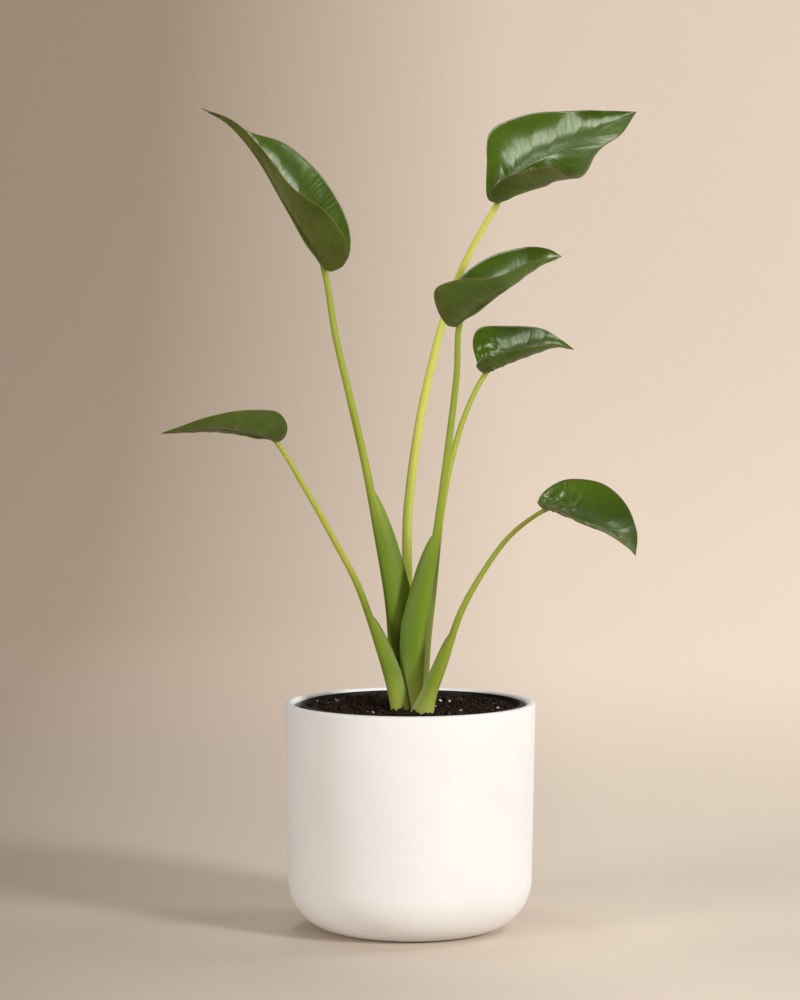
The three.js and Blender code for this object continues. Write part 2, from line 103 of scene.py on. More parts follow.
# %% Leaves and stalks
LEAVES = {
    "low_right": dict(
        midrib=[(90, -52, 139), (103, -60, 136), (119, -68, 131), (138, -72, 124), (148, -72, 110)],
        front=[
            (86, -54, 141), (84, -62, 145), (94, -74, 142), (109, -86, 134), (125, -86, 127),
            (141, -78, 117),
        ],
        back=[
            (85, -44, 143), (90, -30, 150), (106, -18, 157), (128, -14, 154), (144, -24, 141),
            (150, -50, 124),
        ],
        bulge=(0.06, 0.16),
        route=[
            (11, -25, -18), (14, -26, 9), (23, -27, 36), (33, -30, 67), (47, -36, 94),
            (66, -44, 121), (90, -52, 139),
        ],
        thick=(3.6, 1.6),
        sheath=(0.2, 0.4),
        foot=(9, 14),
        widest=(5.5, 7),
        opens=165,
        crumple=0.9,
    ),
    "low_left": dict(
        midrib=[
            (-89, -50, 184), (-103, -58, 188), (-124, -64, 193), (-145, -66, 192),
            (-164, -66, 190),
        ],
        front=[
            (-83, -56, 187), (-81, -66, 196), (-88, -76, 205), (-106, -84, 206),
            (-131, -82, 202), (-150, -74, 195),
        ],
        back=[
            (-84, -44, 186), (-83, -34, 194), (-91, -26, 202), (-108, -26, 202),
            (-132, -38, 199), (-151, -56, 193),
        ],
        bulge=(0.15, 0.2),
        route=[
            (-7, -15, -18), (-12, -15, 13), (-22, -16, 48), (-35, -22, 86), (-51, -32, 118),
            (-70, -42, 153), (-89, -50, 184),
        ],
        thick=(3.4, 1.7),
        sheath=(0.2, 0.38),
        foot=(7, 8.5),
        widest=(5.5, 8),
        opens=20,
    ),
    "middle": dict(
        midrib=[(33, -22, 261), (45, -26, 271), (66, -28, 287), (84, -26, 299), (101, -22, 306)],
        front=[
            (25, -26, 260), (18, -38, 271), (17, -50, 285), (34, -56, 291), (57, -54, 293),
            (78, -44, 302), (89, -32, 304),
        ],
        back=[
            (27, -10, 260), (23, 4, 277), (35, 12, 293), (55, 14, 306), (77, 6, 312),
            (92, -12, 311),
        ],
        bulge=(0.2, 0.18),
        route=[
            (5, -12, -18), (7, -12, 41), (13, -14, 89), (19, -16, 129), (26, -18, 183),
            (31, -20, 227), (33, -22, 261),
        ],
        thick=(4, 2),
        sheath=(0.27, 0.49),
        foot=(7, 9),
        widest=(7, 12),
        opens=155,
    ),
    "top_left": dict(
        midrib=[
            (-58, -6, 298), (-70, -10, 318), (-84, -10, 342), (-102, -8, 372), (-121, -4, 394),
            (-140, 0, 405),
        ],
        front=[
            (-52, -12, 296), (-43, -22, 302), (-43, -34, 317), (-57, -44, 337), (-79, -42, 352),
            (-98, -26, 377), (-118, -10, 396),
        ],
        back=[
            (-51, 4, 297), (-41, 16, 307), (-43, 26, 331), (-60, 30, 360), (-83, 24, 381),
            (-107, 12, 389), (-121, 0, 397),
        ],
        bulge=(0.08, 0.16),
        route=[
            (-8, 2, -18), (-11, 0, 33), (-14, -4, 74), (-22, -8, 122), (-30, -10, 166),
            (-40, -12, 210), (-50, -10, 253), (-58, -6, 298),
        ],
        thick=(4, 2.1),
        sheath=(0.3, 0.52),
        foot=(6, 8),
        widest=(6, 13),
        opens=30,
    ),
    "top_right": dict(
        midrib=[(60, 50, 342), (77, 44, 365), (102, 38, 378), (132, 34, 392), (154, 36, 404)],
        front=[
            (55, 46, 345), (57, 34, 353), (71, 18, 362), (93, 4, 364), (112, -4, 360),
            (125, 2, 374), (141, 18, 387),
        ],
        back=[
            (53, 56, 347), (53, 70, 369), (56, 80, 393), (80, 80, 403), (110, 66, 406),
            (135, 46, 405),
        ],
        bulge=(0.5, 0.14),
        flops=(0.3, 0.68),
        ripple=2.0,
        route=[
            (0, 14, -18), (-2, 16, 100), (0, 22, 147), (10, 32, 211), (30, 40, 284),
            (60, 50, 342),
        ],
        thick=(4.4, 2.1),
        sheath=(0.08, 0.12),
        foot=(5, 5),
        widest=(5, 5),
        opens=90,
    ),
    "middle_right": dict(
        midrib=[(52, 22, 227), (65, 16, 235), (81, 12, 243), (96, 10, 247), (111, 10, 243)],
        front=[
            (48, 20, 228), (45, 10, 233), (55, -2, 238), (71, -10, 244), (87, -8, 246),
            (101, 2, 246),
        ],
        back=[
            (48, 28, 229), (43, 42, 245), (48, 48, 257), (69, 46, 258), (89, 34, 257),
            (103, 18, 249),
        ],
        bulge=(0.22, 0.14),
        route=[
            (8, 4, -18), (11, 6, 39), (15.5, 8, 80), (20.5, 10, 127), (28, 12, 168),
            (39, 16, 203), (52, 22, 227),
        ],
        thick=(3.4, 1.8),
        sheath=(0.2, 0.42),
        foot=(5, 6),
        widest=(5, 6),
        opens=200,
        crumple=1.1,
    ),
}
print(len(LEAVES), "leaves")


# %% [markdown]
# ## Helpers for modelling
# An operator acts on whatever is selected, so everything is deselected before a new piece
# is made. A finished piece keeps its object at the origin, with its place in its mesh.


# %% Select, apply and pick
def only(*pieces):
    """Selects these pieces and nothing else."""
    bpy.ops.object.select_all(action="DESELECT")
    for piece in pieces:
        piece.select_set(True)
    bpy.context.view_layer.objects.active = pieces[0]


def named(name):
    """Names the piece that was just made, and puts its place into its mesh."""
    piece = bpy.context.object
    piece.name = name
    piece.data.name = name
    only(piece)
    bpy.ops.object.transform_apply()
    return piece


def modified(piece, kind, **settings):
    """Adds a modifier and applies it at once."""
    only(piece)
    modifier = piece.modifiers.new(kind.title(), kind)
    for key, value in settings.items():
        setattr(modifier, key, value)
    bpy.ops.object.modifier_apply(modifier=modifier.name)
    return piece


def pick(piece, kind, test):
    """In edit mode, selects the vertices, edges or faces whose middle passes the test."""
    bpy.ops.mesh.select_mode(type=kind)
    bpy.ops.mesh.select_all(action="DESELECT")
    bpy.ops.object.mode_set(mode="OBJECT")
    mesh = piece.data
    parts = dict(VERT=mesh.vertices, EDGE=mesh.edges, FACE=mesh.polygons)[kind]
    count = 0
    for part in parts:
        if kind == "VERT":
            corners = [part.co]
        else:
            corners = [mesh.vertices[i].co for i in part.vertices]
        part.select = test(corners)
        count += part.select
    bpy.ops.object.mode_set(mode="EDIT")
    return count


def level(z, slack=0.05 * MM):
    """A test for parts that lie flat at a height."""
    return lambda corners: all(abs(c.z - z) < slack for c in corners)


# %% [markdown]
# ## Helpers for finishes
# A finish is a tree of shader nodes. Written as plain sums it is far easier to read, so a
# small class stands for a node's output and turns Python's operators into Math nodes.


# %% Shader sums
def paint(red, green, blue):
    """A screen colour, 0 to 255 a channel, as the linear colour that a shader wants."""
    share = [c / 255 for c in (red, green, blue)]
    return (*[c / 12.92 if c <= 0.04045 else ((c + 0.055) / 1.055) ** 2.4 for c in share], 1)


class Wire:
    """The output of a node, which can be used in a sum."""

    def __init__(self, finish, socket):
        self.finish = finish
        self.socket = socket

    def __add__(self, other):
        return self.finish.maths("ADD", self, other)

    def __sub__(self, other):
        return self.finish.maths("SUBTRACT", self, other)

    def __rsub__(self, other):
        return self.finish.maths("SUBTRACT", other, self)

    def __mul__(self, other):
        return self.finish.maths("MULTIPLY", self, other)

    def __truediv__(self, other):
        return self.finish.maths("DIVIDE", self, other)

    def __rtruediv__(self, other):
        return self.finish.maths("DIVIDE", other, self)

    __radd__ = __add__
    __rmul__ = __mul__


class Finish:
    """A material under one shader, whose constants are set on the shader's own sockets."""

    def __init__(self, name, **constants):
        self.material = bpy.data.materials.new(name)
        self.material.use_nodes = True
        self.tree = self.material.node_tree
        self.shader = self.tree.nodes["Principled BSDF"]
        for key, value in constants.items():
            self.shader.inputs[key.replace("_", " ")].default_value = value

    def node(self, kind, settings=None, inputs=None, output=0):
        """Any node: its settings are set first, then its sockets are filled or linked."""
        made = self.tree.nodes.new(kind)
        for key, value in (settings or {}).items():
            if key == "stops":
                ramp = made.color_ramp.elements
                while len(ramp) < len(value):
                    ramp.new(1)
                for stop, (place, colour) in zip(ramp, value):
                    stop.position = place
                    stop.color = colour
            else:
                setattr(made, key, value)
        for key, value in (inputs or {}).items():
            self.feed(made.inputs[key], value)
        return Wire(self, made.outputs[output])

    def feed(self, socket, value):
        """Links a socket to a wire, or sets it to a plain value."""
        if isinstance(value, Wire):
            self.tree.links.new(value.socket, socket)
        else:
            socket.default_value = value

    def maths(self, operation, *values):
        return self.node("ShaderNodeMath", {"operation": operation}, dict(enumerate(values)))

    def clamp(self, value):
        return self.node("ShaderNodeClamp", {}, {"Value": value})

    def blend(self, share, low, high):
        """Mixes two colours; the numbers are the colour sockets of the Mix node."""
        colours = {0: share, 6: low, 7: high}
        return self.node("ShaderNodeMix", {"data_type": "RGBA"}, colours, 2)

    def ramp(self, value, *stops):
        return self.node("ShaderNodeValToRGB", {"stops": stops}, {0: value})

    def places(self, output="Object"):
        return self.node("ShaderNodeTexCoord", {}, {}, output)

    def stretched(self, places, x, y, z):
        return self.node("ShaderNodeMapping", {}, {"Vector": places, "Scale": (x, y, z)})

    def split(self, places):
        """The three numbers of a vector."""
        first = self.node("ShaderNodeSeparateXYZ", {}, {0: places})
        sockets = first.socket.node.outputs
        return [Wire(self, socket) for socket in sockets]

    def noise(self, places, scale, detail=3, rough=0.5):
        inputs = {"Vector": places, "Scale": scale, "Detail": detail, "Roughness": rough}
        return self.node("ShaderNodeTexNoise", {}, inputs)

    def bump(self, height, depth):
        """A Bump node; depth is how deep a height of 1 is, in metres."""
        inputs = {"Height": height, "Distance": depth, "Strength": 1.0}
        self.dress(Normal=self.node("ShaderNodeBump", {}, inputs))

    def dress(self, **sockets):
        """Feeds the shader's sockets that change over the surface."""
        for key, value in sockets.items():
            self.feed(self.shader.inputs[key.replace("_", " ")], value)
        return self.material


# %% [markdown]
# ## The stage
# A plain warm sweep with a rounded foot stands all the way round, so every view has a
# seamless background. It starts as a drum with no lid, and its bottom edge is bevelled. Its
# paint is darker on the left as painted shade, which helps the lamps to grade the background.

# %% Sweep
STAGE_RADIUS = 4.8
STAGE_WALL = 4.0
STAGE_ROUND = 2.8
STAGE_FACETS = 96

bpy.ops.object.select_all(action="DESELECT")
bpy.ops.mesh.primitive_cylinder_add(
    vertices=STAGE_FACETS, radius=STAGE_RADIUS, depth=STAGE_WALL, location=(0, 0, STAGE_WALL / 2)
)
sweep = named("sweep")
bpy.ops.object.mode_set(mode="EDIT")
pick(sweep, "FACE", level(STAGE_WALL))
bpy.ops.mesh.delete(type="FACE")
pick(sweep, "EDGE", level(0))
bpy.ops.mesh.bevel(offset=STAGE_ROUND, segments=32)
bpy.ops.mesh.select_all(action="SELECT")
bpy.ops.mesh.flip_normals()
bpy.ops.object.mode_set(mode="OBJECT")
bpy.ops.object.shade_smooth()

sweep_paint = Finish("sweep_paint", Roughness=0.9)
across, _, _ = sweep_paint.split(sweep_paint.places())
# The ramp across the sweep is painted shade: darker on the left, lighter on the right.
sweep_paint.dress(
    Base_Color=sweep_paint.ramp(
        across * 0.6 + 0.5, (0.25, paint(174, 158, 142)), (0.6, paint(234, 220, 205))
    )
)
sweep.data.materials.append(sweep_paint.material)
print("sweep faces:", len(sweep.data.polygons))

# %% [markdown]
# ## Camera and light
# A long lens from a little above keeps the pot's sides nearly parallel. The key lamp stands in
# front on the right, so the pot's left side falls into a gentle shade, and a wider fill on the
# left keeps the shadows open. Both have a grid, which is a narrow spread, because a bare lamp
# would burn out the floor beneath it. Three small lamps put the gloss on the leaves: one on the
# right, one over the upper left leaf and one behind. Two large ones light the walls behind and
# in front of the plant, and a dim world stands for the room around the stage.

# %% Camera
CAMERA_PLACE = (-6.8 * MM, -2.5, 0.46)
CAMERA_DIP = 3.85
CAMERA_LENS = 133.6
CAMERA_SENSOR = 36
CAMERA_REACH = 30

bpy.ops.object.camera_add(
    location=CAMERA_PLACE, rotation=(math.radians(90 - CAMERA_DIP), 0, 0)
)
camera = bpy.context.object
camera.data.lens = CAMERA_LENS
camera.data.sensor_width = CAMERA_SENSOR
camera.data.clip_end = CAMERA_REACH
bpy.context.scene.camera = camera
bpy.context.scene.view_settings.view_transform = "Standard"


# %% Lamps
COOL = (0.97, 0.99, 1.0)
WARM = (1.0, 0.98, 0.95)
PALE = (1.0, 0.99, 0.97)
ROOM = (1.0, 0.985, 0.96)
BARE = 180
GRID = 70
ROOM_STRENGTH = 0.2


def lamp(name, place, target, size, power, colour, spread=BARE):
    """A square soft lamp that faces its target, with a size in metres and a power in watts."""
    bpy.ops.object.light_add(type="AREA", location=place)
    made = bpy.context.object
    made.name = name
    facing = Vector(target) - Vector(place)
    made.rotation_euler = facing.to_track_quat("-Z", "Y").to_euler()
    made.data.size = size
    made.data.spread = math.radians(spread)
    made.data.energy = power
    made.data.color = colour
    made.visible_camera = False


lamp("key", (1.8, -1.62, 1.02), (0, 0, 0.15), 0.5, 6.7, COOL, GRID)
lamp("fill", (-1.75, -1.6, 0.62), (0, 0, 0.2), 0.9, 4.0, WARM, GRID)
lamp("side", (1.4, 0.3, 1.5), (0.2, 0.1, 0.2), 0.55, 7, ROOM)
lamp("over_left", (-0.14, 0.08, 0.9), (0.1, 0.03, 0.53), 0.25, 1.25, PALE)
lamp("back", (0.1, 1.9, 2.0), (0, 0, 0.4), 0.9, 5, PALE)
lamp("wall", (1.0, 1.3, 2.5), (0.7, STAGE_RADIUS, 1.0), 2.0, 72, ROOM)
lamp("front_wall", (-0.5, -1.3, 2.5), (-0.3, -STAGE_RADIUS, 1.0), 2.0, 46, ROOM)
world = bpy.data.worlds.new("room")
world.use_nodes = True
room_light = world.node_tree.nodes["Background"].inputs
room_light["Color"].default_value = (*ROOM, 1)
room_light["Strength"].default_value = ROOM_STRENGTH
bpy.context.scene.world = world

# %% [markdown]
# ## Ceramic outer pot
# A thrown stoneware pot has a straight, slightly tapered wall, a big round foot and a full
# round lip. It could be a profile spun round the axis. Working a cylinder is closer to how
# it is drawn on paper: inset the top for the wall, push the hollow down, and bevel the foot,
# the inner corner and the lip by their real radii.

# %% Outer pot
POT_FACETS = 192

bpy.ops.object.select_all(action="DESELECT")
bpy.ops.mesh.primitive_cone_add(
    vertices=POT_FACETS,
    radius1=POT_BASE_RADIUS,
    radius2=POT_RIM_RADIUS,
    depth=POT_HEIGHT,
    location=(0, 0, POT_HEIGHT / 2),
)
ceramic_pot = named("ceramic_pot")
bpy.ops.object.mode_set(mode="EDIT")
pick(ceramic_pot, "FACE", level(POT_HEIGHT))
bpy.ops.mesh.inset(thickness=POT_WALL)
bpy.ops.mesh.extrude_region_move(TRANSFORM_OT_translate={"value": (0, 0, POT_FLOOR - POT_HEIGHT)})
inner_taper = (POT_BASE_RADIUS - POT_WALL) / (POT_RIM_RADIUS - POT_WALL)
bpy.ops.transform.resize(value=(inner_taper, inner_taper, 1), center_override=(0, 0, POT_FLOOR))
pick(ceramic_pot, "EDGE", level(0))
bpy.ops.mesh.bevel(offset=POT_FOOT_ROUND, segments=28)
pick(ceramic_pot, "EDGE", level(POT_FLOOR))
bpy.ops.mesh.bevel(offset=POT_INNER_ROUND, segments=16)
pick(ceramic_pot, "EDGE", level(POT_HEIGHT))
bpy.ops.mesh.bevel(offset=POT_WALL / 2 * 0.98, segments=10)
bpy.ops.object.mode_set(mode="OBJECT")
bpy.ops.object.shade_smooth_by_angle(angle=math.radians(40))
print("outer pot:", len(ceramic_pot.data.polygons), "faces", ceramic_pot.dimensions[:])

# %% [markdown]
# ## Grower's pot
# The black pot is thin injection-moulded plastic with a rolled lip. It is a taper with its
# top inset and pushed down; the band under the rim is pulled out for the lip. Drain holes
# are cut through its floor with a Boolean modifier.

# %% Grower's pot
NURSERY_FACETS = 160

bpy.ops.object.select_all(action="DESELECT")
nursery_height = NURSERY_TOP - inner_low.z
bpy.ops.mesh.primitive_cone_add(
    vertices=NURSERY_FACETS,
    radius1=NURSERY_BASE_RADIUS,
    radius2=NURSERY_TOP_RADIUS,
    depth=nursery_height,
    location=(NURSERY_MIDDLE, 0, inner_low.z + nursery_height / 2),
)
growers_pot = named("growers_pot")
bpy.ops.object.mode_set(mode="EDIT")
pick(growers_pot, "FACE", level(NURSERY_TOP))
bpy.ops.mesh.inset(thickness=NURSERY_WALL)
bpy.ops.mesh.extrude_region_move(
    TRANSFORM_OT_translate={"value": (0, 0, NURSERY_WALL - nursery_height)}
)
narrowing = (NURSERY_BASE_RADIUS - NURSERY_WALL) / (NURSERY_TOP_RADIUS - NURSERY_WALL)
bpy.ops.transform.resize(
    value=(narrowing, narrowing, 1),
    center_override=(NURSERY_MIDDLE, 0, inner_low.z + NURSERY_WALL),
)
bpy.ops.mesh.select_all(action="SELECT")
lip_foot = NURSERY_TOP - NURSERY_LIP_HEIGHT
bpy.ops.mesh.bisect(plane_co=(0, 0, lip_foot), plane_no=(0, 0, 1))


def on_lip(corners):
    """The outer wall's band above the foot of the lip."""
    middle = sum(corners, Vector()) / len(corners)
    reach = math.hypot(middle.x - NURSERY_MIDDLE, middle.y)
    tall = max(c.z for c in corners) - min(c.z for c in corners) > 2 * MM
    return middle.z > lip_foot and tall and reach > NURSERY_TOP_RADIUS - NURSERY_WALL * 0.8


print("lip faces:", pick(growers_pot, "FACE", on_lip))
bpy.ops.mesh.extrude_region_shrink_fatten(
    TRANSFORM_OT_shrink_fatten={"value": NURSERY_LIP_WIDTH, "use_even_offset": True}
)


def on_lip_edges(corners):
    """The lip's two outer edges."""
    reach = [math.hypot(c.x - NURSERY_MIDDLE, c.y) for c in corners]
    flat = abs(corners[0].z - corners[1].z) < 0.05 * MM
    return flat and min(reach) > NURSERY_TOP_RADIUS + NURSERY_LIP_WIDTH * 0.7


print("lip edges:", pick(growers_pot, "EDGE", on_lip_edges))
bpy.ops.mesh.bevel(offset=0.6 * MM, segments=4)
bpy.ops.object.mode_set(mode="OBJECT")

# %% Drain holes
DRAIN_HOLES = 6
DRAIN_RADIUS = 4.5 * MM
DRAIN_RING = NURSERY_BASE_RADIUS * 0.72

bpy.ops.object.select_all(action="DESELECT")
plugs = []
for i in range(DRAIN_HOLES):
    turn = 2 * math.pi * i / DRAIN_HOLES
    x, y = DRAIN_RING * math.cos(turn), DRAIN_RING * math.sin(turn)
    bpy.ops.mesh.primitive_cylinder_add(
        vertices=32,
        radius=DRAIN_RADIUS,
        depth=6 * MM,
        location=(NURSERY_MIDDLE + x, y, inner_low.z),
    )
    plugs.append(bpy.context.object)
only(*plugs)
bpy.ops.object.join()
drain_plugs = named("drain_plugs")
modified(growers_pot, "BOOLEAN", object=drain_plugs, operation="DIFFERENCE")
bpy.data.objects.remove(drain_plugs)
only(growers_pot)
bpy.ops.object.shade_smooth_by_angle(angle=math.radians(35))
print("grower's pot:", len(growers_pot.data.polygons), "faces")

# %% [markdown]
# ## Smooth curves and laid sheets
# Leaves, stalks and soil are free forms that no row of edit operators would reach. They are
# made another way: a grid primitive is a sheet of cloth with a place along it and a place
# across it, and each of its points is laid onto a surface that is worked out by formula. The
# grid brings a UV map that follows the surface, which the finishes use for veins and streaks.


# %% A curve through points
SPAN_STEPS = 24


class Route:
    """A smooth curve through points, walked evenly from 0 to 1."""

    def __init__(self, points):
        through = np.array(points, float)
        first = 2 * through[0] - through[1]
        last = 2 * through[-1] - through[-2]
        through = np.vstack([first, through, last])
        t = np.linspace(0, 1, SPAN_STEPS, endpoint=False)[:, None]
        spans = []
        for a, b, c, d in zip(through, through[1:], through[2:], through[3:]):
            cubic = 3 * b - a - 3 * c + d
            square = 2 * a - 5 * b + 4 * c - d
            spans.append(0.5 * (2 * b + (c - a) * t + square * t**2 + cubic * t**3))
        self.fine = np.vstack([*spans, through[-2]])
        steps = np.linalg.norm(np.diff(self.fine, axis=0), axis=1)
        walked = np.concatenate([[0], np.cumsum(steps)])
        self.length = walked[-1]
        self.walked = walked / self.length

    def at(self, share):
        return np.stack([np.interp(share, self.walked, self.fine[:, k]) for k in range(3)], -1)

    def heading(self, share):
        step = 0.02
        ahead = np.clip(share + step, 0, 1)
        behind = np.clip(share - step, 0, 1)
        return unit(self.at(ahead) - self.at(behind))


def unit(vectors):
    return vectors / np.maximum(np.linalg.norm(vectors, axis=-1, keepdims=True), 1e-12)


def mix(low, high, share):
    return low + (high - low) * share


def ease(share):
    return share * share * (3 - 2 * share)


def grown(places):
    """Places on the plant, in millimetres above the soil, as metres in the scene."""
    return np.array(places, float) * MM + np.array([0, 0, SOIL_TOP])


# %% A sheet laid on a surface
def laid(name, along, across, surface):
    """A grid of along by across faces, laid on surface(u, v) for u and v from 0 to 1."""
    bpy.ops.object.select_all(action="DESELECT")
    bpy.ops.mesh.primitive_grid_add(x_subdivisions=along, y_subdivisions=across, size=1)
    piece = named(name)
    mesh = piece.data
    flat = np.empty(len(mesh.vertices) * 3)
    mesh.vertices.foreach_get("co", flat)
    flat = flat.reshape(-1, 3)
    u = np.clip(flat[:, 0] + 0.5, 0, 1)
    v = np.clip(flat[:, 1] + 0.5, 0, 1)
    mesh.vertices.foreach_set("co", surface(u, v).astype(float).ravel())
    mesh.update()
    return piece


def closed(piece, slack=1e-6):
    """Merges the doubled points of seams and poles, and fills the open ends."""
    only(piece)
    bpy.ops.object.mode_set(mode="EDIT")
    bpy.ops.mesh.select_all(action="SELECT")
    bpy.ops.mesh.remove_doubles(threshold=slack)
    bpy.ops.mesh.select_mode(type="EDGE")
    bpy.ops.mesh.select_all(action="DESELECT")
    bpy.ops.mesh.select_non_manifold()
    bpy.ops.mesh.fill_holes(sides=0)
    bpy.ops.mesh.select_all(action="SELECT")
    bpy.ops.mesh.normals_make_consistent(inside=False)
    bpy.ops.object.mode_set(mode="OBJECT")
    bpy.ops.object.shade_smooth_by_angle(angle=math.radians(50))
    return piece


# %% [markdown]
# ## Leaf blades
# Each blade is two half sheets that meet at the midrib. A row runs from the midrib out to
# the margin, and bows towards the underside, which makes the leaf a shallow cup. The side
# veins are creases with the tissue puffed up between them, the margin ripples a little, and
# the tissue crumples near the foot, most of all on the low right and middle right leaves.
# Solidify gives the sheet its thickness, with one finish for the glossy upper side, one for
# the dull underside and one for the thin reddish rim. The midrib stands out underneath.

# %% Blade surface
BLADE_THICKNESS = 0.45 * MM
VEINS = 9
PUFF = 0.45
RIPPLE = 0.5
CRUMPLE = 0.15
MIDRIB_PACE = 1.6
ROW_PACE = 1.35


def blade_surface(leaf):
    """The blade's middle surface, as a function of u along it and v across it."""
    midrib = Route(grown(leaf["midrib"]))
    ends = [leaf["midrib"][0]], [leaf["midrib"][-1]]
    front = Route(grown(ends[0] + leaf["front"] + ends[1]))
    back = Route(grown(ends[0] + leaf["back"] + ends[1]))
    turn = math.copysign(1, leaf["midrib"][-1][0] - leaf["midrib"][0][0])
    front_bulge, back_bulge = leaf["bulge"]
    flops = leaf.get("flops", (1, 2))

    def smooth(u, v):
        """The plain cup: each row leaves the midrib and bows out to the margin."""
        side = turn * (1 - 2 * v)
        out = np.abs(side) ** ROW_PACE
        foot = midrib.at(u**MIDRIB_PACE)
        in_front = (side > 0)[:, None]
        chord = np.where(in_front, front.at(u), back.at(u)) - foot
        cupped = 1 - ease(np.clip((u - flops[0]) / (flops[1] - flops[0]), 0, 1))
        depth = np.where(side > 0, turn * front_bulge * cupped, -turn * back_bulge)
        under = np.cross(midrib.heading(u**MIDRIB_PACE), chord) * depth[:, None]
        return foot + chord * out[:, None] + under * (4 * out * (1 - out))[:, None]

    def surface(u, v):
        """The cup with its relief, which is pushed out along the normal."""
        step = 0.004
        places = smooth(u, v)
        ahead = smooth(np.clip(u + step, 0, 1), v) - smooth(np.clip(u - step, 0, 1), v)
        beside = smooth(u, np.clip(v + step, 0, 1)) - smooth(u, np.clip(v - step, 0, 1))
        normal = unit(np.cross(ahead, beside))
        out = np.abs(1 - 2 * v) ** ROW_PACE
        inside = np.sin(np.pi * np.clip(out, 0, 1)) ** 0.7 * np.sin(np.pi * u) ** 0.5
        puff = np.abs(np.sin(np.pi * (u * VEINS - 0.9 * out))) ** 0.6 - 0.7
        ripple = out**4 * np.sin(np.pi * u) * np.sin(19 * u + 4 * (v > 0.5))
        crumple = np.sin(47 * u + 9 * v) * np.sin(23 * out + 12 * u) * np.clip(1.6 - 3.4 * u, 0, 1)
        relief = PUFF * puff * inside
        relief = relief + leaf.get("ripple", RIPPLE) * ripple
        relief = relief + leaf.get("crumple", CRUMPLE) * crumple * inside
        return places + normal * (relief * MM)[:, None]

    def upper(u):
        """The direction that the upper side faces, along the midrib."""
        beside = smooth(u, np.full_like(u, 0.6)) - smooth(u, np.full_like(u, 0.4))
        return unit(np.cross(midrib.heading(u**MIDRIB_PACE), beside))

    return surface, midrib, upper


# %% Make the blades
BLADE_ROWS = 132
BLADE_COLUMNS = 96


def groove(piece, midrib, count):
    """Presses the midrib's shallow groove into the upper side, deepest at the foot."""
    mesh = piece.data
    places = np.empty(len(mesh.vertices) * 3)
    normals = np.empty(len(mesh.vertices) * 3)
    mesh.vertices.foreach_get("co", places)
    mesh.vertices.foreach_get("normal", normals)
    places = places.reshape(-1, 3)
    normals = normals.reshape(-1, 3)
    shares = np.linspace(0, 1, 160)
    gaps = np.linalg.norm(places[:, None] - midrib.at(shares)[None], axis=2)
    half = mix(1.1, 0.5, shares[gaps.argmin(axis=1)]) * MM
    press = 0.4 * half * np.exp(-((gaps.min(axis=1) / half) ** 2))
    press[count:] = 0
    mesh.vertices.foreach_set("co", (places - normals * press[:, None]).ravel())
    mesh.update()


blades = {}
for name, leaf in LEAVES.items():
    surface, midrib, leaf["upper"] = blade_surface(leaf)
    piece = laid(f"blade_{name}", BLADE_ROWS, BLADE_COLUMNS, surface)
    bpy.ops.object.mode_set(mode="EDIT")
    bpy.ops.mesh.select_all(action="SELECT")
    bpy.ops.mesh.remove_doubles(threshold=2e-6)
    bpy.ops.object.mode_set(mode="OBJECT")
    count = len(piece.data.vertices)
    for _ in ("upper", "underside", "margin"):
        piece.data.materials.append(None)
    modified(
        piece,
        "SOLIDIFY",
        thickness=BLADE_THICKNESS,
        offset=0,
        material_offset=1,
        material_offset_rim=2,
    )
    groove(piece, midrib, count)
    only(piece)
    bpy.ops.object.shade_smooth()
    blades[name] = piece
    sides = [p.material_index for p in piece.data.polygons]
    print(name, "faces above, below and on the margin:", [sides.count(i) for i in range(3)])

# %% [markdown]
# ## Stalks
# An alocasia's stalk is round near the leaf and opens near the soil into a sheath: a thick
# back with two thin wings that wrap the next stalk. One section is worked out by formula,
# from the round stalk to the open wrap, and swept along the route of the stalk. It goes on
# under the blade, where it thins out as the midrib.

# %% Stalk surface
SECTION_STEPS = 22


def stalk_rings(leaf, rings):
    """The points of each section, from the foot of a stalk to the end of its midrib."""
    stalk = Route(grown(leaf["route"]))
    path = Route(grown(leaf["route"] + leaf["midrib"][1:]))
    stalk_share = stalk.length / path.length
    shares = np.linspace(0, 1 - 0.04 * (1 - stalk_share), rings + 1)
    along = path.heading(shares)
    centres = path.at(shares)
    angle = math.radians(leaf["opens"])
    opening = np.array([math.cos(angle), math.sin(angle), 0])
    out = unit(opening - along * (along @ opening)[:, None])
    beside = np.cross(out, along)
    start, stop = leaf["sheath"]
    made = []
    for i, share in enumerate(shares):
        t = min(share / stalk_share, 1)
        past = max((share - stalk_share) / (1 - stalk_share), 0)
        r = mix(*leaf["thick"], t**0.8)
        r = mix(r, 0.3, past**0.3)
        low = ease(min(t / start, 1))
        high = min(max((t - start) / (stop - start), 0), 1)
        wide = (1 - high) ** 0.75
        a, d = [mix(r, mix(f, w, low), wide) for f, w in zip(leaf["foot"], leaf["widest"])]
        x, y = section(a, d, r, 1 - ease(high))
        sink = leaf["upper"](np.array([past ** (1 / MIDRIB_PACE)]))[0] * r * 1.15 * ease(min(past * 9, 1))
        offset = x[:, None] * beside[i] + y[:, None] * out[i] - sink
        made.append(centres[i] + offset * MM)
    leaf["stalk_share"] = stalk_share
    return np.array(made), path


